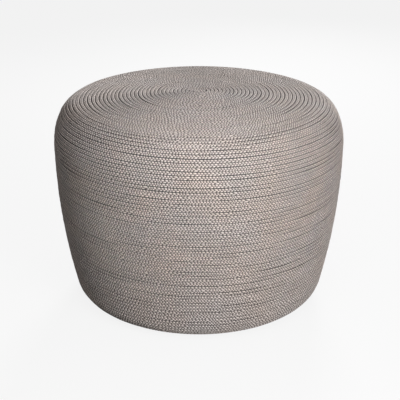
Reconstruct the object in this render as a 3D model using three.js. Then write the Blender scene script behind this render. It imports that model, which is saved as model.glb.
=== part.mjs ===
// An outdoor footstool. A cage of bent aluminium flat bars carries a quick-drying foam pad and a foam sleeve,
// and one long braided rope is wound over both: from the middle of the top, over the shoulder, down the side
// and in under the foot. A base plate on glides closes the underside.
// Millimetres, +Z up, the middle of the underside at the origin and the floor at Z = 0.
import * as THREE from 'three';

// Driving dimensions of the outline, measured over the rope
const bodyRadius = 300;
const sideHeight = 302.5;
const sideInset = 36;
const footRadius = 54;
const shoulderRadius = 128;
const cornerRadius = 52;
const shoulderTurn = THREE.MathUtils.degToRad(26.8);
const cornerTurn = THREE.MathUtils.degToRad(56.1);

// Rope
const ropeDiameter = 7.5;
const rowGap = 0.54;
const coilLoops = 24;
const coilStartTurn = 0.75;
const jointAngle = Math.PI;
const ropeUnderRun = 10;

// Padding
const padThickness = 25;
const sleeveThickness = 8;

// Cage of flat bars, the hub they meet on, and hoops of round bar
const ribCount = 12;
const ribWidth = 25;
const ribThickness = 5;
const ribEndGap = 2.2;
const ribHubLap = 20;
const ribToeLength = 24;
const hubThickness = 5;
const hoopBarRadius = 6;
const deckHoopRun = 150;
const shoulderHoopShare = 0.5;
const bellyHoopShare = 0.42;

// Base ring and base plate
const ringThickness = 5;
const ringWidth = 30;
const plateThickness = 8;
const plateEdgeGap = 1.5;
const drainHoleRadius = 6;
const drainHoleCount = 4;
const drainCircleRadius = 90;

// Screws that hold the plate to the ring
const baseScrewCount = 6;
const baseScrewRadius = 3;
const baseScrewTip = 2;
const baseHeadRadius = 5.5;
const baseHeadHeight = 2.2;

// Glides, each on a screw of its own
const glideCount = 6;
const glideRadius = 16;
const glideChamfer = 1.5;
const glideWall = 2.2;
const glideEdgeDistance = 4;
const glideScrewRadius = 2;
const glideScrewBite = 6;
const glideHeadRadius = 4.5;
const glideHeadHeight = 1.6;
const glideHeadRecess = 1.1;

// A screw head's flat top and straight edge
const headTopShare = 0.7;
const headEdgeShare = 0.4;

// Fits
const seatGap = 0.3;
const holeGap = 0.3;

// Facets
const facets = 24;
const ropeSides = 6;
const hoopSides = 6;
const screwSides = 8;
const glideSides = 10;

// Half-way along a facet a round piece is nearer its axis by this share
const facetShare = Math.cos(Math.PI / facets);

const rowPitch = ropeDiameter + rowGap;

// Heights of the base, from the floor up, and of the rope's lowest row, which hangs just above the floor
const glideHeight = glideHeadRecess + glideHeadHeight + seatGap + glideWall;
const plateHeight = glideHeight + seatGap;
const ringHeight = plateHeight + plateThickness + seatGap;
const foamDepth = ropeDiameter + seatGap;
const ropeHeight = ringHeight + ringThickness - foamDepth - sleeveThickness;

// The outline from the middle of the top outwards, down and under: arcs that meet in line, then a straight
// run. Each point's angle is that of the outward normal above the horizon.
function outlineSegments() {
  const sideRadius = (sideHeight ** 2 + sideInset ** 2) / (2 * sideInset);
  const sideTurn = Math.asin(sideHeight / sideRadius);
  const footCentreHeight = ropeHeight + footRadius;
  const footCentreRadius = bodyRadius - sideInset - footRadius * Math.cos(sideTurn);
  const widestHeight = footCentreHeight + sideHeight - footRadius * Math.sin(sideTurn);
  const cornerOffset = shoulderRadius - cornerRadius;
  const cornerCentreRadius = bodyRadius - shoulderRadius + cornerOffset * Math.cos(shoulderTurn);
  const cornerCentreHeight = widestHeight + cornerOffset * Math.sin(shoulderTurn);
  const crownAngle = shoulderTurn + cornerTurn;
  const domeRadius = cornerRadius + cornerCentreRadius / Math.cos(crownAngle);
  const domeCentreHeight = cornerCentreHeight + (cornerRadius - domeRadius) * Math.sin(crownAngle);
  const arc = (centreRadius, centreHeight, radius, from, to, spans) => ({
    length: radius * (from - to),
    spans,
    at: (run) => {
      const angle = from - run / radius;
      return {
        r: centreRadius + radius * Math.cos(angle),
        z: centreHeight + radius * Math.sin(angle),
        angle,
      };
    },
  });
  return [
    arc(0, domeCentreHeight, domeRadius, Math.PI / 2, crownAngle, 5),
    arc(cornerCentreRadius, cornerCentreHeight, cornerRadius, crownAngle, shoulderTurn, 4),
    arc(bodyRadius - shoulderRadius, widestHeight, shoulderRadius, shoulderTurn, 0, 2),
    arc(bodyRadius - sideRadius, widestHeight, sideRadius, 0, -sideTurn, 3),
    arc(footCentreRadius, footCentreHeight, footRadius, -sideTurn, -Math.PI / 2, 4),
    {
      length: ropeUnderRun + ribToeLength,
      spans: 1,
      at: (run) => ({ r: footCentreRadius - run, z: ropeHeight, angle: -Math.PI / 2 }),
    },
  ];
}

const segments = outlineSegments();
const segmentStarts = segments.map((_, i) =>
  segments.slice(0, i).reduce((sum, segment) => sum + segment.length, 0),
);
const [, cornerStart, shoulderStart, sideStart, footStart, underStart] = segmentStarts;
const ropeEnd = underStart + ropeUnderRun;

// The point of the outline at a run along it, moved inwards by a depth.
function outlinePoint(run, depth = 0) {
  let i = segments.length - 1;
  while (i > 0 && run < segmentStarts[i]) i -= 1;
  const { r, z, angle } = segments[i].at(run - segmentStarts[i]);
  return { r: r - depth * Math.cos(angle), z: z - depth * Math.sin(angle), angle };
}

// The runs at which every piece has its corners, so that the faces of neighbours lie in line.
function stations(from, to) {
  const inner = segments.flatMap((segment, i) =>
    Array.from({ length: segment.spans }, (_, k) => segmentStarts[i] + (segment.length * k) / segment.spans),
  );
  return [from, ...inner.filter((run) => run > from + rowPitch / 2 && run < to - rowPitch / 2), to];
}

// The foam is thick over the top and thins round the corner to the sleeve on the side.
function foamThickness(run) {
  const share = THREE.MathUtils.clamp((run - cornerStart) / (shoulderStart - cornerStart), 0, 1);
  return THREE.MathUtils.lerp(padThickness, sleeveThickness, share);
}

const ribDepth = (run) => foamDepth + foamThickness(run) + seatGap;
const insideRibs = (run) => ribDepth(run) + ribThickness + seatGap;

const eachOf = (count, make) => Array.from({ length: count }, (_, i) => make(i));
const aroundShare = (share) => share * 2 * Math.PI;

function indexedGeometry(points, indices) {
  const geometry = new THREE.BufferGeometry().setFromPoints(points);
  geometry.setIndex(indices);
  return geometry;
}

// A closed solid from rings of points: a bar with capped ends, or a hoop that closes on itself.
function sweep(rings, isHoop = false) {
  const sides = rings[0].length;
  const indices = [];
  const spans = isHoop ? rings.length : rings.length - 1;
  for (let i = 0; i < spans; i += 1) {
    const here = i * sides;
    const next = ((i + 1) % rings.length) * sides;
    for (let k = 0; k < sides; k += 1) {
      const after = (k + 1) % sides;
      indices.push(here + k, next + k, next + after, here + k, next + after, here + after);
    }
  }
  const last = (rings.length - 1) * sides;
  for (let k = 1; k < sides - 1 && !isHoop; k += 1) {
    indices.push(0, k, k + 1, last, last + k + 1, last + k);
  }
  return indexedGeometry(rings.flat(), indices);
}

// A round solid from its section, listed anticlockwise with the axis on the left.
function revolve(section, sides = facets) {
  const points = section.map(({ r, z }) => new THREE.Vector2(r, z));
  if (points[0].x > 0) points.push(points[0].clone());
  return new THREE.LatheGeometry(points, sides).rotateX(Math.PI / 2);
}

// A round layer between two depths under the outline, from one run to another.
function layer(from, to, outerDepth, innerDepth) {
  const runs = stations(from, to);
  const side = (depth) =>
    runs.map((run) => (run > 0 ? outlinePoint(run, depth(run)) : { r: 0, z: outlinePoint(0, depth(0)).z }));
  return revolve([...side(innerDepth), ...side(outerDepth).reverse()]);
}

// Materials
const rope = new THREE.MeshStandardMaterial({ color: 0xa3988f, roughness: 0.85 });
const foam = new THREE.MeshStandardMaterial({ color: 0x3c3f42, roughness: 1 });
const coatedAluminium = new THREE.MeshStandardMaterial({ color: 0x8a857e, roughness: 0.5, metalness: 0.4 });
const moulding = new THREE.MeshStandardMaterial({ color: 0x2b2a29, roughness: 0.6 });
const stainless = new THREE.MeshStandardMaterial({ color: 0xc8c8c6, roughness: 0.3, metalness: 1 });

const stool = new THREE.Group();

// Adds a piece, turned to an angle round the stool and moved out along it.
function add(name, geometry, material, angle = 0, radius = 0, height = 0) {
  const mesh = new THREE.Mesh(geometry, material);
  mesh.name = name;
  mesh.position.set(radius * Math.cos(angle), radius * Math.sin(angle), height);
  mesh.rotation.z = angle;
  stool.add(mesh);
}

// The rope lies on one spiral: a turn further on, it has gone one row pitch along the outline.
const jointTurn = coilStartTurn + coilLoops;

function spiralPoint(turn, run, depth) {
  const { r, z } = outlinePoint(run, depth);
  const angle = jointAngle + aroundShare(turn);
  return new THREE.Vector3(r * Math.cos(angle), r * Math.sin(angle), z);
}

// The loops on the top, as one tube that ends in a cut face where the winding of the side takes over.
// Its section is a hexagon as high as it is wide, so that it lies flat on the pad.
function coilRings() {
  const radius = ropeDiameter / 2;
  const endTurn = jointTurn - seatGap / aroundShare(jointTurn * rowPitch);
  return eachOf(coilLoops * facets + 1, (i) => {
    const turn = Math.min(coilStartTurn + i / facets, endTurn);
    return eachOf(ropeSides, (k) => {
      const across = radius * Math.cos(aroundShare(k / ropeSides));
      const up = (radius * Math.sin(aroundShare(k / ropeSides))) / Math.sin(aroundShare(1 / ropeSides));
      return spiralPoint(turn, turn * rowPitch + across, radius - up);
    });
  });
}

// The least gap between each loop and the next, measured from the tube's outer edge at its points, and
// half-way between them, to the straight stretches of the next loop's inner edge.
function leastGap(rings) {
  const outerEdge = rings.map((ring) => ring[0]);
  const innerEdge = rings.map((ring) => ring[ropeSides / 2]);
  const nearest = new THREE.Vector3();
  let least = Infinity;
  for (let i = 0; i + facets + 1 < rings.length; i += 1) {
    const middle = outerEdge[i].clone().lerp(outerEdge[i + 1], 0.5);
    for (let j = i + facets - 1; j < i + facets + 1; j += 1) {
      const stretch = new THREE.Line3(innerEdge[j], innerEdge[j + 1]);
      for (const point of [outerEdge[i], middle]) {
        stretch.closestPointToPoint(point, true, nearest);
        least = Math.min(least, nearest.distanceTo(point));
      }
    }
  }
  return least;
}

const coil = coilRings();
console.log('least gap between loops of the coil', leastGap(coil).toFixed(2), 'mm');
add('rope_top_coil', sweep(coil), rope);

// The rest of the rope lies row against row, and is one wall as thick as the rope. Its upper edge follows
// the coil's last loop, a rope's width lower after a turn, and the cut face there meets the coil's end.
function windingGeometry() {
  const edgeRun = (turn) => (turn - 1) * rowPitch + ropeDiameter / 2 + seatGap;
  const runs = stations(edgeRun(jointTurn + 1), ropeEnd).slice(1);
  const points = [];
  const indices = [];
  const vertex = (point) => points.push(point) - 1;
  const face = (...corners) => {
    for (let k = 1; k < corners.length - 1; k += 1) indices.push(corners[0], corners[k], corners[k + 1]);
  };
  const skin = (depth) => ({
    edge: eachOf(facets + 1, (k) => {
      const turn = jointTurn + k / facets;
      return vertex(spiralPoint(turn, edgeRun(turn), depth));
    }),
    rings: runs.map((run) => eachOf(facets, (k) => vertex(spiralPoint(jointTurn + k / facets, run, depth)))),
  });
  const outer = skin(0);
  const inner = skin(ropeDiameter);
  const last = runs.length - 1;
  for (let k = 0; k < facets; k += 1) {
    const next = (k + 1) % facets;
    for (let i = 0; i < last; i += 1) {
      face(outer.rings[i][k], outer.rings[i + 1][k], outer.rings[i + 1][next], outer.rings[i][next]);
      face(inner.rings[i][k], inner.rings[i][next], inner.rings[i + 1][next], inner.rings[i + 1][k]);
    }
    face(outer.rings[last][k], inner.rings[last][k], inner.rings[last][next], outer.rings[last][next]);
    face(outer.edge[k], outer.edge[k + 1], inner.edge[k + 1], inner.edge[k]);
    // The first face under the edge also has the corner where the edge comes round a row lower
    const outerStep = k === 0 ? [outer.edge[facets]] : [];
    const innerStep = k === 0 ? [inner.edge[facets]] : [];
    face(...outerStep, outer.rings[0][k], outer.rings[0][next], outer.edge[k + 1], outer.edge[k]);
    face(...innerStep, inner.edge[k], inner.edge[k + 1], inner.rings[0][next], inner.rings[0][k]);
  }
  face(outer.edge[0], inner.edge[0], inner.edge[facets], outer.edge[facets]);
  return indexedGeometry(points, indices);
}

add('rope_side_winding', windingGeometry(), rope);

// Foam: a domed pad whose rim turns down over the corner, and a sleeve from there to the underside
const padRim = shoulderStart - seatGap;
const foamUnderside = (run) => foamDepth + foamThickness(run);
add('top_pad', layer(0, padRim, () => foamDepth, foamUnderside), foam);
add('side_sleeve', layer(shoulderStart, ropeEnd, () => foamDepth, foamUnderside), foam);

// The cage. Each rib is one flat bar, bent the easy way from the hub out over the top and down the side,
// with its toe turned in over the base ring. Ribs lie along the middles of facets.
const ribStartRadius = (ribWidth / 2 + ribEndGap) / Math.tan(Math.PI / ribCount);

function ribGeometry() {
  const rings = stations(ribStartRadius, ropeEnd + ribToeLength).map((run) => {
    const outer = outlinePoint(run, ribDepth(run));
    const inner = outlinePoint(run, ribDepth(run) + ribThickness);
    return [
      new THREE.Vector3(outer.r * facetShare, -ribWidth / 2, outer.z),
      new THREE.Vector3(outer.r * facetShare, ribWidth / 2, outer.z),
      new THREE.Vector3(inner.r * facetShare, ribWidth / 2, inner.z),
      new THREE.Vector3(inner.r * facetShare, -ribWidth / 2, inner.z),
    ];
  });
  return sweep(rings);
}

const rib = ribGeometry();
for (let i = 0; i < ribCount; i += 1) {
  add(`rib_${i + 1}`, rib, coatedAluminium, aroundShare(i / ribCount) + Math.PI / facets);
}

const hubRadius = ribStartRadius + ribHubLap;
add('hub_disc', layer(0, hubRadius, insideRibs, (run) => insideRibs(run) + hubThickness), coatedAluminium);

// A hoop of round bar inside the ribs, at a run along the outline.
function hoopGeometry(run) {
  const centre = outlinePoint(run, insideRibs(run) + hoopBarRadius);
  const rings = eachOf(facets, (i) =>
    eachOf(hoopSides, (k) => {
      const turn = centre.angle + aroundShare(k / hoopSides);
      const r = centre.r + hoopBarRadius * Math.cos(turn);
      return new THREE.Vector3(
        r * Math.cos(aroundShare(i / facets)),
        r * Math.sin(aroundShare(i / facets)),
        centre.z + hoopBarRadius * Math.sin(turn),
      );
    }),
  );
  return sweep(rings, true);
}

// A hoop sits at the corner of the outline nearest to its run, because between corners the ribs run nearer.
function hoopAt(run) {
  const corners = stations(0, ropeEnd);
  return hoopGeometry(corners.reduce((a, b) => (Math.abs(b - run) < Math.abs(a - run) ? b : a)));
}

add('deck_hoop', hoopAt(deckHoopRun), coatedAluminium);
add('shoulder_hoop', hoopAt(THREE.MathUtils.lerp(shoulderStart, sideStart, shoulderHoopShare)), coatedAluminium);
add('belly_hoop', hoopAt(THREE.MathUtils.lerp(sideStart, footStart, bellyHoopShare)), coatedAluminium);

// The base: a flat ring under the toes of the ribs, and a plate screwed up against it
const openingRadius = outlinePoint(ropeEnd).r;
const ringRadius = openingRadius - seatGap / facetShare;
const plateRadius = openingRadius - plateEdgeGap;
const screwCircle = ringRadius - ringWidth / 2;
const glideCircle = plateRadius - glideEdgeDistance - glideRadius;
const screwAngle = (i) => aroundShare(i / baseScrewCount);
const glideAngle = (i) => aroundShare((i + 0.5) / glideCount);
const drainAngle = (i) => aroundShare((i + 0.5) / drainHoleCount);

function circlePoints(radius, sides, centreRadius = 0, centreAngle = 0) {
  const centre = new THREE.Vector2(centreRadius * Math.cos(centreAngle), centreRadius * Math.sin(centreAngle));
  return eachOf(sides, (k) => {
    const angle = centreAngle + aroundShare(k / sides);
    return new THREE.Vector2(radius * Math.cos(angle), radius * Math.sin(angle)).add(centre);
  });
}

function flatRound(radius, holes, thickness) {
  const shape = new THREE.Shape(circlePoints(radius, facets));
  shape.holes = holes.map((points) => new THREE.Path(points));
  return new THREE.ExtrudeGeometry(shape, { depth: thickness, bevelEnabled: false });
}

const screwHoles = eachOf(baseScrewCount, (i) =>
  circlePoints(baseScrewRadius + holeGap, screwSides, screwCircle, screwAngle(i)),
);
const glideHoles = eachOf(glideCount, (i) =>
  circlePoints(glideScrewRadius + holeGap, screwSides, glideCircle, glideAngle(i)),
);
const drainHoles = eachOf(drainHoleCount, (i) =>
  circlePoints(drainHoleRadius, screwSides, drainCircleRadius, drainAngle(i)),
);
const ringHole = circlePoints(ringRadius - ringWidth, facets);
const ring = flatRound(ringRadius, [ringHole, ...screwHoles], ringThickness);
const plate = flatRound(plateRadius, [...screwHoles, ...glideHoles, ...drainHoles], plateThickness);
add('base_ring', ring, coatedAluminium, 0, 0, ringHeight);
add('base_plate', plate, moulding, 0, 0, plateHeight);

// A pan-head screw that points up, with the seat of its head at height 0.
function screwGeometry(shankRadius, headRadius, headHeight, length) {
  const section = [
    { r: 0, z: -headHeight },
    { r: headRadius * headTopShare, z: -headHeight },
    { r: headRadius, z: -headHeight * headEdgeShare },
    { r: headRadius, z: 0 },
    { r: shankRadius, z: 0 },
    { r: shankRadius, z: length },
    { r: 0, z: length },
  ];
  return revolve(section, screwSides);
}

const baseScrewLength = plateThickness + ringThickness + baseScrewTip;
const baseScrew = screwGeometry(baseScrewRadius, baseHeadRadius, baseHeadHeight, baseScrewLength);
for (let i = 0; i < baseScrewCount; i += 1) {
  add(`base_screw_${i + 1}`, baseScrew, stainless, screwAngle(i), screwCircle, plateHeight - seatGap);
}

// Glides: low round pads, each with a well for the head of its screw.
function glideGeometry() {
  const holeRadius = glideScrewRadius + holeGap;
  const wellRadius = glideHeadRadius + holeGap;
  const wellHeight = glideHeight - glideWall;
  const section = [
    { r: wellRadius, z: 0 },
    { r: glideRadius - glideChamfer, z: 0 },
    { r: glideRadius, z: glideChamfer },
    { r: glideRadius, z: glideHeight },
    { r: holeRadius, z: glideHeight },
    { r: holeRadius, z: wellHeight },
    { r: wellRadius, z: wellHeight },
  ];
  return revolve(section, glideSides);
}

const glide = glideGeometry();
const glideScrewSeat = glideHeadRecess + glideHeadHeight;
const glideScrewLength = glideWall + glideScrewBite;
const glideScrew = screwGeometry(glideScrewRadius, glideHeadRadius, glideHeadHeight, glideScrewLength);
for (let i = 0; i < glideCount; i += 1) {
  add(`glide_${i + 1}`, glide, moulding, glideAngle(i), glideCircle);
  add(`glide_screw_${i + 1}`, glideScrew, stainless, glideAngle(i), glideCircle, glideScrewSeat);
}

export default stool;
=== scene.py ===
import math

import bmesh
import bpy
import numpy as np
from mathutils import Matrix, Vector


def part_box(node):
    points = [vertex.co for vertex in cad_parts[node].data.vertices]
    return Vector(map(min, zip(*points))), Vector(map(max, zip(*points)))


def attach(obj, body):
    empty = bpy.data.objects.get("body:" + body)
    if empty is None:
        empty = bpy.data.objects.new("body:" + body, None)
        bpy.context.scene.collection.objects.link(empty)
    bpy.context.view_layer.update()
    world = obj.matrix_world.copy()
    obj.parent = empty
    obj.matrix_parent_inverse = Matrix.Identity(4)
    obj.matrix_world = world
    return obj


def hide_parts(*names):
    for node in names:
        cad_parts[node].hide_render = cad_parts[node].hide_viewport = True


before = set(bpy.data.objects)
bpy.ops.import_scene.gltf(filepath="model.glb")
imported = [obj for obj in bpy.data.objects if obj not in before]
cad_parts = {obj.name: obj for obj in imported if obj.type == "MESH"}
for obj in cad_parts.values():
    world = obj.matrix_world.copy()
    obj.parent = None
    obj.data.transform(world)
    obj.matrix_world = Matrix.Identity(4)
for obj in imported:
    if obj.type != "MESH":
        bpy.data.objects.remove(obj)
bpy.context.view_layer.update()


# The cage is bent aluminium flat bar and three hoops of round bar, welded to a hub disc and a base ring.
# It is sandblasted and powder coated. Padding and base plate hide it but for what the drain holes show.
cage_nodes = [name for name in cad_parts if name.startswith("rib_")]
cage_nodes += ["hub_disc", "deck_hoop", "shoulder_hoop", "belly_hoop", "base_ring"]


def colour(code):
    """The linear colour of an sRGB hex code: each part c is c / 12.92 up to 0.04045, else
    ((c + 0.055) / 1.055) to the power 2.4."""
    parts = [int(code[i : i + 2], 16) / 255 for i in (1, 3, 5)]
    linear = [c / 12.92 if c <= 0.04045 else ((c + 0.055) / 1.055) ** 2.4 for c in parts]
    return (*linear, 1.0)


def add(tree, kind, inputs=(), output=0, **settings):
    """Adds a node, applies its settings, links or sets its inputs by place or name, and gives one output.
    A colour mix has its share at input 0, its colours at inputs 6 and 7 and its result at output 2."""
    made = tree.nodes.new(kind)
    for key, value in settings.items():
        setattr(made, key, value)
    for key, value in inputs.items() if isinstance(inputs, dict) else enumerate(inputs):
        if isinstance(value, bpy.types.NodeSocket):
            tree.links.new(value, made.inputs[key])
        else:
            made.inputs[key].default_value = value
    return made.outputs[output] if made.outputs else made


def new_material(name):
    """A node material with an empty tree, and the tree."""
    made = bpy.data.materials.new(name)
    made.use_nodes = True
    made.node_tree.nodes.clear()
    return made, made.node_tree


def powder_coat():
    """Polyester powder over blasted aluminium: satin, with the faint orange peel of a cured powder."""
    peel_spacing = 0.0018
    peel_height = 0.00004
    clouds_per_metre = 9.0
    made, tree = new_material("powder_coated_aluminium")
    place = add(tree, "ShaderNodeTexCoord", output="Object")
    peel = add(tree, "ShaderNodeTexNoise", {"Vector": place, "Scale": 1 / peel_spacing, "Detail": 2.0})
    bump = add(tree, "ShaderNodeBump", {"Strength": 1.0, "Distance": peel_height, "Height": peel})
    cloud = add(tree, "ShaderNodeTexNoise", {"Vector": place, "Scale": clouds_per_metre, "Detail": 3.0})
    greys = {0: cloud, 6: colour("#857F78"), 7: colour("#8F8A83")}
    tone = add(tree, "ShaderNodeMix", greys, output=2, data_type="RGBA")
    look = {"Base Color": tone, "Roughness": 0.48, "Normal": bump}
    shader = add(tree, "ShaderNodeBsdfPrincipled", look)
    add(tree, "ShaderNodeOutputMaterial", [shader])
    return made


coat = powder_coat()
for name in cage_nodes:
    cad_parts[name].material_slots[0].material = coat


# The base plate is a disc of moulded polyethylene with a rounded edge and drain holes. It closes the
# underside and is screwed up against the base ring, with a shadow gap to the last row of rope.
plate_low, plate_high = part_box("base_plate")
plate_radius = (plate_high.x - plate_low.x) / 2
plate_edge_radius = 0.0015
plate_edge_steps = 3
plate_quarter_steps = 24
plate_weld_distance = 1e-6
plate_flat_normal = 0.999
drain_hole_radius = 0.006
drain_circle_radius = 0.09
drain_hole_count = 4
screw_hole_share = 0.6
turn = 2 * math.pi


def grid_quads(rows, columns, closed_rows):
    """The quads of a grid whose columns close round on themselves: (i, j), (i, j + 1), (i + 1, j + 1),
    (i + 1, j). They point outwards where rows go up a surface and columns go anticlockwise round it."""
    i, j = np.meshgrid(np.arange(rows if closed_rows else rows - 1), np.arange(columns), indexing="ij")
    after_i, after_j = (i + 1) % rows, (j + 1) % columns
    corners = [i * columns + j, i * columns + after_j, after_i * columns + after_j, after_i * columns + j]
    return np.stack(corners, -1).reshape(-1, 4)


def surface(name, points, closed_rows=False, maps=(), sharp_angle=math.radians(50), weld_distance=1e-7):
    """A mesh object from a (rows, columns, 3) grid of points, closed round its columns. Points that
    coincide, as at a pole, are welded, and edges that bend by more than the sharp angle stay sharp.
    maps holds (name, uv) pairs, with one uv for each corner of each quad."""
    rows, columns = points.shape[:2]
    quads = grid_quads(rows, columns, closed_rows)
    mesh = bpy.data.meshes.new(name)
    mesh.vertices.add(rows * columns)
    mesh.vertices.foreach_set("co", points.astype(np.float32).ravel())
    mesh.loops.add(quads.size)
    mesh.loops.foreach_set("vertex_index", quads.astype(np.int32).ravel())
    mesh.polygons.add(len(quads))
    mesh.polygons.foreach_set("loop_start", np.arange(len(quads), dtype=np.int32) * 4)
    mesh.update(calc_edges=True)
    for map_name, uv in maps:
        layer = mesh.uv_layers.new(name=map_name)
        layer.data.foreach_set("uv", uv.astype(np.float32).ravel())
    work = bmesh.new()
    work.from_mesh(mesh)
    bmesh.ops.remove_doubles(work, verts=work.verts, dist=weld_distance)
    work.to_mesh(mesh)
    work.free()
    mesh.shade_smooth()
    mesh.set_sharp_from_angle(angle=sharp_angle)
    made = bpy.data.objects.new(name, mesh)
    bpy.context.scene.collection.objects.link(made)
    return made


def revolved(name, section, columns, centre=(0.0, 0.0), lobes=None):
    """A surface of revolution: each (r, z) of the section goes round to (r cos a, r sin a, z) about the
    centre, in so many columns. The section is listed anticlockwise, with r to the right and z up, and
    closes on itself where it doesn't start on the axis. Where lobes are given, r swells by that share
    times cos 6a, as in a six-lobed driver recess."""
    r, z = np.asarray(section, float).T
    angle = np.arange(columns) / columns * turn
    share = np.zeros(len(r)) if lobes is None else np.asarray(lobes, float)
    radius = r[:, None] * (1 + share[:, None] * np.cos(6 * angle))
    x = centre[0] + radius * np.cos(angle)
    y = centre[1] + radius * np.sin(angle)
    return surface(name, np.stack([x, y, np.broadcast_to(z[:, None], x.shape)], -1), closed_rows=r[0] > 0)


def arc_points(centre_r, centre_z, radius, first, last, count):
    """Points of a fillet: centre + radius (cos a, sin a), with a in degrees from first to last."""
    angle = np.radians(np.linspace(first, last, count))
    return np.stack([centre_r + radius * np.cos(angle), centre_z + radius * np.sin(angle)], -1)


def node_places(stem):
    """The nodes whose names are the stem and a number, each with the x and y of its middle."""
    names = sorted(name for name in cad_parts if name.startswith(stem) and name[len(stem) :].isdigit())
    boxes = [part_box(name) for name in names]
    return [(name, ((low.x + high.x) / 2, (low.y + high.y) / 2)) for name, (low, high) in zip(names, boxes)]


def plate_mesh():
    """A flat shape of circles, the rim and one for each drain hole and screw, filled, given its thickness
    and a rounded edge, and turned into a mesh. A circle is four cubic arcs with handles of
    4/3 tan(pi / 8) times its radius."""
    curve = bpy.data.curves.new("base_plate_outline", "CURVE")
    curve.dimensions = "2D"
    curve.fill_mode = "BOTH"
    curve.resolution_u = plate_quarter_steps
    curve.extrude = (plate_high.z - plate_low.z) / 2 - plate_edge_radius
    curve.bevel_depth = plate_edge_radius
    curve.bevel_resolution = plate_edge_steps
    screw_low, screw_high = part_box("base_screw_1")
    screw_hole_radius = (screw_high.x - screw_low.x) / 2 * screw_hole_share
    circles = [((0.0, 0.0), plate_radius - plate_edge_radius)]
    for i in range(drain_hole_count):
        angle = (i + 0.5) / drain_hole_count * turn
        place = (drain_circle_radius * math.cos(angle), drain_circle_radius * math.sin(angle))
        circles.append((place, drain_hole_radius + plate_edge_radius))
    circles += [(place, screw_hole_radius + plate_edge_radius) for _, place in node_places("base_screw_")]
    handle_share = 4 / 3 * math.tan(math.pi / 8)
    for (x, y), radius in circles:
        spline = curve.splines.new("BEZIER")
        spline.bezier_points.add(3)
        spline.use_cyclic_u = True
        for k, point in enumerate(spline.bezier_points):
            c, s = math.cos(k * turn / 4), math.sin(k * turn / 4)
            point.co = (x + radius * c, y + radius * s, 0)
            reach = radius * handle_share
            point.handle_left = (x + radius * c + reach * s, y + radius * s - reach * c, 0)
            point.handle_right = (x + radius * c - reach * s, y + radius * s + reach * c, 0)
    shape = bpy.data.objects.new("base_plate_shape", curve)
    bpy.context.scene.collection.objects.link(shape)
    mesh = bpy.data.meshes.new_from_object(shape.evaluated_get(bpy.context.evaluated_depsgraph_get()))
    bpy.data.objects.remove(shape)
    points = np.empty(len(mesh.vertices) * 3)
    mesh.vertices.foreach_get("co", points)
    points[2::3] += (plate_low.z + plate_high.z) / 2
    mesh.vertices.foreach_set("co", points)
    work = bmesh.new()
    work.from_mesh(mesh)
    bmesh.ops.remove_doubles(work, verts=work.verts, dist=plate_weld_distance)
    bmesh.ops.recalc_face_normals(work, faces=work.faces)
    work.to_mesh(mesh)
    work.free()
    for face in mesh.polygons:
        face.use_smooth = abs(face.normal.z) < plate_flat_normal
    return mesh


def moulded_polyethylene():
    """Black-brown polyethylene from a spark-eroded mould: even and dull, with a fine pebbled grain.
    The grain is about 0.4 mm on the real plate and is drawn at 1.6 mm, so that it shows."""
    grain_spacing = 0.0016
    grain_height = 0.00008
    flow_marks_per_metre = 22.0
    made, tree = new_material("moulded_polyethylene")
    place = add(tree, "ShaderNodeTexCoord", output="Object")
    grain = add(tree, "ShaderNodeTexVoronoi", {"Vector": place, "Scale": 1 / grain_spacing})
    bump = add(tree, "ShaderNodeBump", {"Strength": 1.0, "Distance": grain_height, "Height": grain})
    flow = add(tree, "ShaderNodeTexNoise", {"Vector": place, "Scale": flow_marks_per_metre, "Detail": 4.0})
    browns = {0: flow, 6: colour("#262422"), 7: colour("#34312F")}
    tone = add(tree, "ShaderNodeMix", browns, output=2, data_type="RGBA")
    dullness = add(tree, "ShaderNodeMapRange", {"Value": flow, "To Min": 0.5, "To Max": 0.66})
    look = {"Base Color": tone, "Roughness": dullness, "Normal": bump}
    shader = add(tree, "ShaderNodeBsdfPrincipled", look)
    add(tree, "ShaderNodeOutputMaterial", [shader])
    return made


plate = bpy.data.objects.new("underside_plate", plate_mesh())
bpy.context.scene.collection.objects.link(plate)
plate.data.materials.append(moulded_polyethylene())
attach(plate, "root")
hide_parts("base_plate")


# Stainless pan-head screws hold the plate to the ring, and a smaller one holds each glide. Their heads are
# cold formed and tumbled, with a six-lobed recess.
head_fillet_share = 0.55
head_fillet_points = 7
recess_share = 0.42
recess_floor_share = 0.86
recess_depth_share = 0.55
recess_lobe_share = 0.13
screw_columns = 36


def pan_screw(name, node, place, head_height, shank_radius):
    """A pan head turned about its axis, from the bottom of the recess outwards: floor, lobed wall, flat top,
    a quarter circle down to the seat, the seat and the shank up to its tip."""
    low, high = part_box(node)
    head_radius = min(high.x - low.x, high.y - low.y) / 2
    fillet = head_height * head_fillet_share
    recess = head_radius * recess_share
    floor = low.z + head_height * recess_depth_share
    section = np.concatenate(
        [
            [(0, floor), (recess * recess_floor_share, floor), (recess, low.z)],
            arc_points(head_radius - fillet, low.z + fillet, fillet, -90, 0, head_fillet_points),
            [(head_radius, low.z + head_height), (shank_radius, low.z + head_height)],
            [(shank_radius, high.z - shank_radius / 2), (shank_radius / 2, high.z), (0, high.z)],
        ]
    )
    lobes = np.zeros(len(section))
    lobes[1:3] = recess_lobe_share
    return revolved(name, section, screw_columns, place, lobes)


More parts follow.
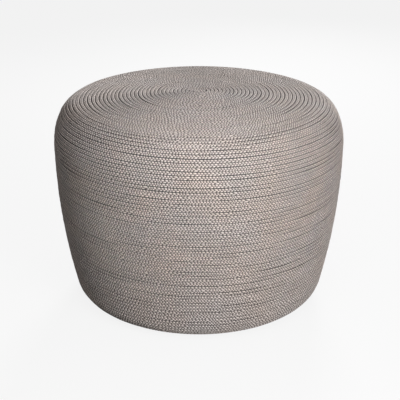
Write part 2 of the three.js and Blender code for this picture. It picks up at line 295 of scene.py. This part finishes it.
def tumbled_stainless():
    """A2 stainless steel, cold formed and barrel tumbled: a soft grey shine with tiny dings.
    The dings are about 0.1 mm and are drawn at 0.5 mm, so that they show."""
    ding_spacing = 0.0005
    ding_height = 0.00002
    made, tree = new_material("tumbled_stainless_steel")
    place = add(tree, "ShaderNodeTexCoord", output="Object")
    dings = add(tree, "ShaderNodeTexNoise", {"Vector": place, "Scale": 1 / ding_spacing, "Detail": 3.0})
    bump = add(tree, "ShaderNodeBump", {"Strength": 1.0, "Distance": ding_height, "Height": dings})
    wear = add(tree, "ShaderNodeMapRange", {"Value": dings, "To Min": 0.26, "To Max": 0.42})
    look = {"Base Color": colour("#C9C8C4"), "Metallic": 1.0, "Roughness": wear, "Normal": bump}
    shader = add(tree, "ShaderNodeBsdfPrincipled", look)
    add(tree, "ShaderNodeOutputMaterial", [shader])
    return made


stainless = tumbled_stainless()
plate_screws = {"stem": "plate_screw_", "nodes": "base_screw_", "head_height": 0.0022, "shank_radius": 0.003}
glide_screws = {"stem": "foot_screw_", "nodes": "glide_screw_", "head_height": 0.0016, "shank_radius": 0.002}
for kind in (plate_screws, glide_screws):
    for node, place in node_places(kind["nodes"]):
        name = kind["stem"] + node[len(kind["nodes"]) :]
        screw = pan_screw(name, node, place, kind["head_height"], kind["shank_radius"])
        screw.data.materials.append(stainless)
        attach(screw, "root")
        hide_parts(node)


# The glides are low polyamide pads, injection moulded, with a well for the head of the screw. They keep the
# rope off the ground.
glide_well_radius = 0.0048
glide_hole_radius = 0.0023
glide_wall = 0.0022
glide_edge = 0.0015
glide_edge_points = 7
well_edge = 0.0004
well_edge_points = 4
glide_columns = 64


def glide_section(radius, height):
    """The pad's section: well, rounded rim, flat underside, rounded edge, side, back and screw hole."""
    return np.concatenate(
        [
            arc_points(glide_well_radius + well_edge, well_edge, well_edge, 180, 270, well_edge_points),
            arc_points(radius - glide_edge, glide_edge, glide_edge, -90, 0, glide_edge_points),
            [(radius, height), (glide_hole_radius, height)],
            [(glide_hole_radius, height - glide_wall), (glide_well_radius, height - glide_wall)],
        ]
    )


def moulded_polyamide():
    """Black polyamide: a low sheen, rubbed duller where it meets the ground, with fine scratches.
    The scratches are finer than a pixel and are drawn 1 mm apart, so that they show."""
    scratch_spacing = 0.001
    scratch_height = 0.00003
    scratch_stretch = (1.0, 0.15, 1.0)
    worn_height = 0.0012
    made, tree = new_material("moulded_polyamide")
    place = add(tree, "ShaderNodeTexCoord", output="Object")
    stretched = add(tree, "ShaderNodeMapping", {"Vector": place, "Scale": scratch_stretch})
    pattern = {"Vector": stretched, "Scale": 1 / scratch_spacing, "Detail": 3.0}
    scratches = add(tree, "ShaderNodeTexNoise", pattern)
    bump = add(tree, "ShaderNodeBump", {"Strength": 1.0, "Distance": scratch_height, "Height": scratches})
    height = add(tree, "ShaderNodeSeparateXYZ", [place], output="Z")
    rubbing = {"Value": height, "From Max": worn_height, "To Min": 0.72, "To Max": 0.45}
    worn = add(tree, "ShaderNodeMapRange", rubbing)
    blacks = {0: scratches, 6: colour("#1B1B1C"), 7: colour("#2C2C2D")}
    tone = add(tree, "ShaderNodeMix", blacks, output=2, data_type="RGBA")
    look = {"Base Color": tone, "Roughness": worn, "Normal": bump}
    shader = add(tree, "ShaderNodeBsdfPrincipled", look)
    add(tree, "ShaderNodeOutputMaterial", [shader])
    return made


polyamide = moulded_polyamide()
for node, place in node_places("glide_"):
    glide_low, glide_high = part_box(node)
    glide_radius = max(glide_high.x - glide_low.x, glide_high.y - glide_low.y) / 2
    glide = revolved("foot_" + node, glide_section(glide_radius, glide_high.z), glide_columns, place)
    glide.data.materials.append(polyamide)
    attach(glide, "root")
    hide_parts(node)


# The padding is open-cell polyurethane foam that lets rain run through: a domed pad on the cage, turned down
# over the corner, and a thin sleeve down the side. Both are glued to the cage and lie tight under the rope.
winding_low, winding_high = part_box("rope_side_winding")
body_radius = (winding_high.x - winding_low.x) / 2
side_height = 0.3025
side_inset = 0.036
foot_radius = 0.054
shoulder_radius = 0.128
corner_radius = 0.052
shoulder_turn = math.radians(26.8)
corner_turn = math.radians(56.1)
rope_under_run = 0.010
rope_depth = 0.0075
foam_clearance = 0.0002
foam_end_gap = 0.001
pad_thickness = 0.025
sleeve_thickness = 0.008
foam_section_points = 160
foam_columns = 144


def outline_arcs():
    """The arcs of the stool's section over the rope, from the middle of the top outwards and down: dome,
    corner, shoulder, side and foot, each as centre r, centre z, radius, and the angle of its outward normal
    above the horizon at its start and end. Each meets the next in line."""
    side_radius = (side_height**2 + side_inset**2) / (2 * side_inset)
    side_turn = math.asin(side_height / side_radius)
    foot_r = body_radius - side_inset - foot_radius * math.cos(side_turn)
    foot_z = winding_low.z + foot_radius
    widest = foot_z + side_height - foot_radius * math.sin(side_turn)
    offset = shoulder_radius - corner_radius
    corner_r = body_radius - shoulder_radius + offset * math.cos(shoulder_turn)
    corner_z = widest + offset * math.sin(shoulder_turn)
    crown = shoulder_turn + corner_turn
    dome_radius = corner_radius + corner_r / math.cos(crown)
    dome_z = corner_z + (corner_radius - dome_radius) * math.sin(crown)
    return np.array(
        [
            (0, dome_z, dome_radius, math.pi / 2, crown),
            (corner_r, corner_z, corner_radius, crown, shoulder_turn),
            (body_radius - shoulder_radius, widest, shoulder_radius, shoulder_turn, 0),
            (body_radius - side_radius, widest, side_radius, 0, -side_turn),
            (foot_r, foot_z, foot_radius, -side_turn, -math.pi / 2),
        ]
    )


arcs = outline_arcs()
arc_ends = np.cumsum(arcs[:, 2] * (arcs[:, 3] - arcs[:, 4]))
arc_starts = np.concatenate([[0], arc_ends[:-1]])
rope_end = arc_ends[-1] + rope_under_run


def outline(run, depth=0.0):
    """The section's point at a run along it from the middle of the top, moved inwards by a depth: on an
    arc, centre + (radius - depth) (cos a, sin a) with a = first - (run - start) / radius, and past the last
    arc straight in towards the axis. Gives r, z and a."""
    run = np.asarray(run, float)
    place = np.clip(np.searchsorted(arc_starts, run, "right") - 1, 0, len(arcs) - 1)
    centre_r, centre_z, radius, first, last = np.moveaxis(arcs[place], -1, 0)
    angle = np.maximum(first - (run - arc_starts[place]) / radius, last)
    beyond = np.maximum(run - arc_ends[-1], 0)
    r = centre_r + (radius - depth) * np.cos(angle) - beyond
    return r, centre_z + (radius - depth) * np.sin(angle), angle


def foam_section():
    """The foam's underside from the axis out and down, then its top back up: two runs of the outline, one
    thickness apart, which thins from the pad's to the sleeve's over the corner."""
    run = np.linspace(0, rope_end - foam_end_gap, foam_section_points)
    thickness = np.interp(run, [arc_starts[1], arc_ends[1]], [pad_thickness, sleeve_thickness])
    under = np.stack(outline(run, rope_depth + foam_clearance + thickness)[:2], -1)
    top = np.stack(outline(run, rope_depth + foam_clearance)[:2], -1)[::-1]
    under[0, 0] = top[-1, 0] = 0
    return np.concatenate([under, top])


def open_cell_foam():
    """Reticulated polyurethane foam in charcoal: matt, with open cells about 1.5 mm across. Its dark tone is
    partly painted shade, so that it reads as shade in the gaps between rows of rope, and each cell is
    darkest in its middle as painted shade in the hollow.
    """
    cell_spacing = 0.0015
    cell_depth = 0.0006
    made, tree = new_material("open_cell_foam")
    place = add(tree, "ShaderNodeTexCoord", output="Object")
    cells = add(tree, "ShaderNodeTexVoronoi", {"Vector": place, "Scale": 1 / cell_spacing})
    bump = add(tree, "ShaderNodeBump", {"Strength": 1.0, "Distance": cell_depth, "Height": cells})
    # Painted shade: darkest in the middle of each open cell, and dark overall so the gaps between rows read
    # as shade
    charcoal_and_cell_shade = {0: cells, 6: colour("#26282A"), 7: colour("#4A4D50")}
    tone = add(tree, "ShaderNodeMix", charcoal_and_cell_shade, output=2, data_type="RGBA")
    look = {"Base Color": tone, "Roughness": 0.95, "Normal": bump}
    shader = add(tree, "ShaderNodeBsdfPrincipled", look)
    add(tree, "ShaderNodeOutputMaterial", [shader])
    return made


foam = revolved("foam_padding", foam_section(), foam_columns)
foam.data.materials.append(open_cell_foam())
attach(foam, "root")
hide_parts("top_pad", "side_sleeve")


# The cover is one braided polyester rope, about 8 mm thick and 130 m long. It is laid on the foam in a
# spiral, from the middle of the top outwards, row against row, glued as it goes, and its end is sealed
# and tucked in under the foot. Its plait shows two lines of slanting stitches to a row.
row_pitch = 0.00804
rope_lift = 0.0002
rope_start_turn = -0.02
curl_radius = 0.0031
curl_turns = (0.3, 0.7)
path_steps = 60000
joint_turn = 24.75
joint_angle = math.pi
side_lengths = 8

# The plait, in stitches along the rope and columns round it, of which four go round
stitch_length = 0.0063
stitch_lead = 0.4
rings_per_stitch = 4
plait_columns = np.array([0, 1 / 3, 2 / 3, 1, 5 / 3, 7 / 3, 3, 10 / 3, 11 / 3])
hidden_columns = 0.9

# The rope's section on top and on the side, and the stretch of the outline over which it eases between them
section_runs = (0.24, 0.32)
strand_radii = (0.0041, 0.0042)
crest_radii = (0.0034, 0.0032)
flank_radii = (0.0029, 0.0031)
stitch_swell_share = 0.12
end_round = 0.0025

# How far the hand-laid rope strays: rows and depth in metres, the plait in stitches, and the rope's roll
wander_spacing = 0.07
row_wander = 0.0001
depth_wander = 0.00015
roll_wander = math.radians(5)
stitch_wander = 0.5
beat_spacing = 0.012
beat_wander = 0.18
random = np.random.default_rng(11)


def wander(distance, spacing, amount):
    """A smooth random drift along the rope: normal values at even spacings, joined by half cosine waves."""
    knots = random.normal(0, amount, int(distance[-1] / spacing) + 2)
    place = distance / spacing
    before = place.astype(int)
    share = (1 - np.cos(math.pi * (place - before))) / 2
    return knots[before] * (1 - share) + knots[before + 1] * share


def spiral(turns):
    """The run along the outline and the angle about the axis at each turn: one row pitch further for a
    turn. The first half turn is a curl round a point beside the axis, so that the rope's end fills the
    middle of the coil, and it eases into the spiral between the two curl turns."""
    ease = np.clip((turns - curl_turns[0]) / (curl_turns[1] - curl_turns[0]), 0, 1)
    radius = curl_radius + (turns * row_pitch - curl_radius) * ease
    x = radius * np.cos(turns * turn) - (row_pitch / 2 - curl_radius) * (1 - ease)
    y = radius * np.sin(turns * turn)
    return np.hypot(x, y), joint_angle + np.unwrap(np.arctan2(y, x))


def rope_path():
    """Turns of the spiral at even distances along the rope, and the distances. A short step is as long as
    dr, dz and r times the angle's change together."""
    last_turn = (rope_end - row_pitch / 2) / row_pitch
    fine = np.linspace(rope_start_turn, last_turn, path_steps)
    run, around = spiral(fine)
    r, z, _ = outline(run)
    step = np.hypot(np.hypot(np.diff(r), np.diff(z)), (r[1:] + r[:-1]) / 2 * np.diff(around))
    length = np.concatenate([[0], np.cumsum(step)])
    count = int(length[-1] / stitch_length * rings_per_stitch)
    distance = np.linspace(0, length[-1], count)
    return np.interp(distance, length, fine), distance


def rope_rings(turns, distance, stitches):
    """Rings of points round the rope: m + R (cos f n + sin f t), with m the ring's middle, nearly half a row
    pitch under the outline, n the outline's normal, t its tangent, and f a quarter turn for each column of
    the plait. R swells in the middle of each column that shows, most where a strand crosses on top. It is
    less between columns, the crest radius in the valley on top and the flank radius at the sides, which is
    also that of the hidden underside. Each ring's radii ease from those of the top to those of the side
    between the section runs."""
    spiral_run, around = spiral(turns)
    run = spiral_run + wander(distance, wander_spacing, row_wander)
    depth = row_pitch / 2 - rope_lift + wander(distance, wander_spacing, depth_wander)
    roll = wander(distance, wander_spacing, roll_wander)
    r, z, tilt = outline(run, depth)
    column = np.floor(plait_columns)
    across = plait_columns - column - 0.5
    phase = stitches[:, None] + across * stitch_lead * (1 - 2 * (column % 2)) + 0.5 * (column % 2)
    swell = np.cos(turn * (phase - np.floor(phase) - 0.5))
    lobe = np.cos(math.pi * across)
    seen = np.abs(plait_columns - 2) > hidden_columns
    section = [np.interp(run, section_runs, radii) for radii in (strand_radii, crest_radii, flank_radii)]
    high, crest, flank = (radii[:, None] for radii in section)
    valley = np.where(np.isin(plait_columns, (1, 3)), flank, crest)
    radius = np.where(seen, valley + (high - valley) * lobe * (1 + stitch_swell_share * swell), flank)
    rounded = np.minimum(np.minimum(distance, distance[-1] - distance) / end_round, 1)
    radius = radius * np.sqrt(1 - (1 - rounded) ** 2)[:, None]
    angle = plait_columns * turn / 4 + roll[:, None]
    out, along = radius * np.cos(angle), radius * np.sin(angle)
    r_point = r[:, None] + out * np.cos(tilt)[:, None] + along * np.sin(tilt)[:, None]
    z_point = z[:, None] + out * np.sin(tilt)[:, None] - along * np.cos(tilt)[:, None]
    return np.stack([r_point * np.cos(around)[:, None], r_point * np.sin(around)[:, None], z_point], -1)


def rope_length(name, rings, distance, stitches):
    """One length of the rope as a tube with closed ends. Its braid map holds stitches along the rope and
    plait columns round it. OFBake lays the tube out in strips of equal length, one above the other, with
    most of each strip for the half of the rope that shows."""
    strip_length = 0.64
    strip_room_share = 1.02
    strip_start_share = 0.004
    strip_edge_share = 0.04
    column_shares = (0, 0.42, 0.58, 1)
    first_cap = rings[:1].mean(1, keepdims=True).repeat(rings.shape[1], 1)
    last_cap = rings[-1:].mean(1, keepdims=True).repeat(rings.shape[1], 1)
    points = np.concatenate([first_cap, rings, last_cap])
    along = np.concatenate([distance[:1], distance, distance[-1:]])
    counted = np.concatenate([stitches[:1], stitches, stitches[-1:]])
    columns = np.append(plait_columns, 4.0)
    i = np.arange(points.shape[0] - 1)[:, None, None] + np.array([0, 0, 1, 1])
    j = np.arange(points.shape[1])[None, :, None] + np.array([0, 1, 1, 0])
    braid = np.stack(np.broadcast_arrays(counted[i], columns[j]), -1)
    strip = np.floor((along[:-1] - along[0]) / strip_length)[:, None, None]
    place = (along[i] - along[0]) - strip * strip_length
    u = place / (strip_length * strip_room_share) + strip_start_share
    share = np.interp(columns[j], (0, 1, 3, 4), column_shares)
    v = (strip + strip_edge_share + (1 - 2 * strip_edge_share) * share) / (strip.max() + 1)
    bake = np.stack(np.broadcast_arrays(u, v), -1)
    return surface(name, points, maps=[("braid", braid), ("OFBake", bake)])


def braided_polyester():
    """Solution-dyed polyester braid in heather taupe: plump stitches of light yarn, matt and slightly furry.
    The creases where the strands dive under each other, and the flanks towards the gap between rows, get
    painted shade in their colour. A stitch is 6.3 mm long on the real rope and shows as it is; the
    filaments in it are drawn 0.7 mm apart, coarser than they are, so that they show."""
    crease_height = 0.0015
    filament_height = 0.0001
    filament_scale = (1.2, 9.0, 3.0)
    dye_drifts_per_metre = 13.0
    made, tree = new_material("braided_polyester")
    place = add(tree, "ShaderNodeUVMap", uv_map="braid")
    u = add(tree, "ShaderNodeSeparateXYZ", [place], output="X")
    v = add(tree, "ShaderNodeSeparateXYZ", [place], output="Y")
    column = add(tree, "ShaderNodeMath", [v], operation="FLOOR")
    odd = add(tree, "ShaderNodeMath", [column, 2.0], operation="MODULO")
    fraction = add(tree, "ShaderNodeMath", [v], operation="FRACT")
    across = add(tree, "ShaderNodeMath", [fraction, 0.5], operation="SUBTRACT")
    side = add(tree, "ShaderNodeMath", [odd, -2.0, 1.0], operation="MULTIPLY_ADD")
    slant = add(tree, "ShaderNodeMath", [across, side], operation="MULTIPLY")
    leaned = add(tree, "ShaderNodeMath", [slant, stitch_lead, u], operation="MULTIPLY_ADD")
    phase = add(tree, "ShaderNodeMath", [odd, 0.5, leaned], operation="MULTIPLY_ADD")
    stitch = add(tree, "ShaderNodeMath", [phase], operation="FLOOR")

    # Height of a stitch: sin(pi f)^1.4 along it, f from 0 to 1, times 1 - e |2 c|^3 across its column, c from
    # -0.5 to 0.5, with e 0.45 on top of the rope, where the two lines of stitches meet, and 1 at its flanks
    within = add(tree, "ShaderNodeMath", [phase], operation="FRACT")
    half_wave = add(tree, "ShaderNodeMath", [within, math.pi], operation="MULTIPLY")
    sine = add(tree, "ShaderNodeMath", [half_wave], operation="SINE")
    bulge = add(tree, "ShaderNodeMath", [sine, 1.4], operation="POWER")
    from_middle = add(tree, "ShaderNodeMath", [across], operation="ABSOLUTE")
    doubled = add(tree, "ShaderNodeMath", [from_middle, 2.0], operation="MULTIPLY")
    cubed = add(tree, "ShaderNodeMath", [doubled, 3.0], operation="POWER")
    from_under = add(tree, "ShaderNodeMath", [v, 2.0], operation="SUBTRACT")
    turned_up = add(tree, "ShaderNodeMath", [from_under], operation="ABSOLUTE")
    from_crest = add(tree, "ShaderNodeMath", [2.0, turned_up], operation="SUBTRACT")
    edge_share = add(tree, "ShaderNodeMapRange", {"Value": from_crest, "To Min": 0.45, "To Max": 1.0})
    lost = add(tree, "ShaderNodeMath", [cubed, edge_share], operation="MULTIPLY")
    width = add(tree, "ShaderNodeMath", [1.0, lost], operation="SUBTRACT")
    height = add(tree, "ShaderNodeMath", [bulge, width], operation="MULTIPLY")

    # Share of the yarn left out of the painted crease shade: as the height, but a third is left
    # where stitches follow each other
    unshaded_along = add(tree, "ShaderNodeMath", [bulge, 0.66, 0.34], operation="MULTIPLY_ADD")
    unshaded_yarn = add(tree, "ShaderNodeMath", [unshaded_along, width], operation="MULTIPLY")

    # Lightness of the yarn, by chance for each stitch and by the filaments along it
    stitch_place = add(tree, "ShaderNodeCombineXYZ", [stitch, column, 0.0])
    chance = add(tree, "ShaderNodeTexWhiteNoise", {"Vector": stitch_place}, noise_dimensions="3D")
    filament_place = add(tree, "ShaderNodeCombineXYZ", [u, fraction, column])
    filaments = add(tree, "ShaderNodeMapping", {"Vector": filament_place, "Scale": filament_scale})
    threads = add(tree, "ShaderNodeTexNoise", {"Vector": filaments, "Scale": 1.0, "Detail": 2.0})
    yarn_share = add(tree, "ShaderNodeMapRange", {"Value": chance, "To Min": 0.88, "To Max": 1.08})
    thread_share = add(tree, "ShaderNodeMapRange", {"Value": threads, "To Min": 0.9, "To Max": 1.1})
    lightness = add(tree, "ShaderNodeMath", [yarn_share, thread_share], operation="MULTIPLY")

    # Slow drift of the dye from pinkish to bluish grey over the body
    body = add(tree, "ShaderNodeTexCoord", output="Object")
    drift = add(tree, "ShaderNodeTexNoise", {"Vector": body, "Scale": dye_drifts_per_metre, "Detail": 2.0})
    drift_share = add(tree, "ShaderNodeMapRange", {"Value": drift, "From Min": 0.3, "From Max": 0.7})
    dyes = {0: drift_share, 6: colour("#F2E3DB"), 7: colour("#ECE2DE")}
    yarn = add(tree, "ShaderNodeMix", dyes, output=2, data_type="RGBA")
    lit = add(tree, "ShaderNodeVectorMath", {"Vector": yarn, "Scale": lightness}, operation="SCALE")

    # Painted shade in the creases round the stitches, and painted shade towards the gap between rows,
    # where less light comes in
    crease_shade_range = {"Value": unshaded_yarn, "From Min": 0.16, "From Max": 0.9}
    painted_crease_shade = add(tree, "ShaderNodeMapRange", crease_shade_range, interpolation_type="SMOOTHSTEP")
    # The crease colour #453931 is painted shade, not a darker yarn
    yarn_and_painted_shade = {0: painted_crease_shade, 6: colour("#453931"), 7: lit}
    shown = add(tree, "ShaderNodeMix", yarn_and_painted_shade, output=2, data_type="RGBA")
    # Painted shade: the colour falls to a quarter towards the gap between rows
    gap_shade_range = {"Value": from_crest, "From Min": 0.31, "From Max": 0.88, "To Min": 1.0, "To Max": 0.25}
    painted_gap_shade = add(tree, "ShaderNodeMapRange", gap_shade_range, interpolation_type="SMOOTHSTEP")
    shaded = add(tree, "ShaderNodeVectorMath", {"Vector": shown, "Scale": painted_gap_shade}, operation="SCALE")

    relief = add(tree, "ShaderNodeBump", {"Strength": 1.0, "Distance": crease_height, "Height": height})
    fuzz = {"Strength": 1.0, "Distance": filament_height, "Height": threads, "Normal": relief}
    fine = add(tree, "ShaderNodeBump", fuzz)
    look = {"Base Color": shaded, "Roughness": 0.85, "Specular IOR Level": 0.3, "Normal": fine}
    shader = add(tree, "ShaderNodeBsdfPrincipled", look)
    add(tree, "ShaderNodeOutputMaterial", [shader])
    return made


rope = braided_polyester()
rope_turns, rope_distance = rope_path()
rope_stitches = rope_distance / stitch_length
rope_stitches = rope_stitches + wander(rope_distance, wander_spacing, stitch_wander)
rope_stitches = rope_stitches + wander(rope_distance, beat_spacing, beat_wander)
all_rings = rope_rings(rope_turns, rope_distance, rope_stitches)
coil_end = int(np.searchsorted(rope_turns, joint_turn))
cuts = np.linspace(coil_end, len(rope_turns) - 1, side_lengths + 1).astype(int)
stretches = [("rope_coil_top", 0, coil_end, "rope_top_coil")]
for number, (first, last) in enumerate(zip(cuts[:-1], cuts[1:]), 1):
    stretches.append((f"rope_side_{number}", first, last, "rope_side_winding"))
for name, first, last, node in stretches:
    part = slice(first, last + 1)
    length = rope_length(name, all_rings[part], rope_distance[part], rope_stitches[part])
    length.data.materials.append(rope)
    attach(length, "root")
    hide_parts(node)


# The studio is a pale room with a paper floor that keeps the stool's soft shadow. A broad lamp stands in
# front on the right, a small one close in front and one with a grid at the back, so that no side is black.
# The camera's place, aim and lens are fitted to the stool's rim, its widest line and its foot.
paper = colour("#F6F6F6")
paper_glow = 0.94
paper_answer = 0.09
room_glow = 0.96
room_level = 0.2
floor_radius = 9.0
floor_sides = 64
camera_distance = 2.4
camera_elevation = math.radians(21.79)
camera_shift = (0.00304, 0.00767)
aim_height = 0.1977
focal_share = 1123.63 / 400
sensor_width = 36.0


def pale_paper():
    """Paper that the camera sees as bright as the room behind it: most of it glows to the camera alone, and
    the rest takes light and shadow. To other rays it is plain matt paper."""
    made, tree = new_material("studio_paper")
    to_camera = add(tree, "ShaderNodeLightPath")
    glow = add(tree, "ShaderNodeEmission", {"Color": paper, "Strength": paper_glow})
    takes_shadow = add(tree, "ShaderNodeBsdfDiffuse", {"Color": (paper_answer,) * 3 + (1,)})
    both = add(tree, "ShaderNodeAddShader", [glow, takes_shadow])
    plain = add(tree, "ShaderNodeBsdfDiffuse", {"Color": colour("#585858")})
    mixed = add(tree, "ShaderNodeMixShader", [to_camera, plain, both])
    add(tree, "ShaderNodeOutputMaterial", [mixed])
    return made


def lamp(name, azimuth, height, distance, size, level, half_beam=math.pi / 2):
    """A square soft box turned to the middle of the stool, azimuth 0 being the camera's side. At level 1 it
    lights a face there that looks straight at it so that a colour shows as written. A grid in front of it
    narrows its beam to the angle h either side of its axis, and there makes it 1 / (1 - h / tan h) times as
    strong, which is taken off again."""
    light = bpy.data.lights.new(name, "AREA")
    light.size = size
    light.spread = 2 * half_beam
    reach = math.hypot(distance, height - aim_height)
    light.energy = level * (math.pi * reach) ** 2 * (1 - half_beam / math.tan(half_beam))
    made = bpy.data.objects.new(name, light)
    bpy.context.scene.collection.objects.link(made)
    a = math.radians(azimuth)
    made.location = (distance * math.sin(a), -distance * math.cos(a), height)
    made.rotation_euler = (math.atan2(distance, height - aim_height), 0, a)


floor_mesh = bpy.data.meshes.new("studio_floor")
rim_angles = [k * turn / floor_sides for k in range(floor_sides)]
rim = [(floor_radius * math.cos(a), floor_radius * math.sin(a), 0) for a in rim_angles]
floor_mesh.from_pydata(rim, [], [list(range(floor_sides))])
floor_mesh.materials.append(pale_paper())
floor = bpy.data.objects.new("studio_floor", floor_mesh)
bpy.context.scene.collection.objects.link(floor)

lamp("key_lamp", azimuth=32, height=1.0, distance=2.4, size=1.2, level=0.62)
lamp("front_lamp", azimuth=0, height=0.66, distance=0.8, size=0.45, level=0.26)
lamp("back_lamp", azimuth=170, height=1.4, distance=3.2, size=1.0, level=1.2, half_beam=math.radians(40))

room = bpy.data.worlds.new("studio_room")
room.use_nodes = True
room.node_tree.nodes.clear()
sees = add(room.node_tree, "ShaderNodeLightPath")
room_light = add(room.node_tree, "ShaderNodeBackground", {"Color": (1, 1, 1, 1), "Strength": room_level})
room_seen = add(room.node_tree, "ShaderNodeBackground", {"Color": paper, "Strength": room_glow})
room_mix = add(room.node_tree, "ShaderNodeMixShader", [sees, room_light, room_seen])
add(room.node_tree, "ShaderNodeOutputWorld", [room_mix])
bpy.context.scene.world = room

camera = bpy.data.cameras.new("camera")
camera.sensor_width = sensor_width
camera.lens = focal_share * sensor_width
camera.shift_x, camera.shift_y = camera_shift
camera_object = bpy.data.objects.new("camera", camera)
bpy.context.scene.collection.objects.link(camera_object)
camera_object.location = (
    0,
    -camera_distance * math.cos(camera_elevation),
    aim_height + camera_distance * math.sin(camera_elevation),
)
camera_object.rotation_euler = (math.pi / 2 - camera_elevation, 0, 0)
bpy.context.scene.camera = camera_object
bpy.context.scene.view_settings.view_transform = "Standard"
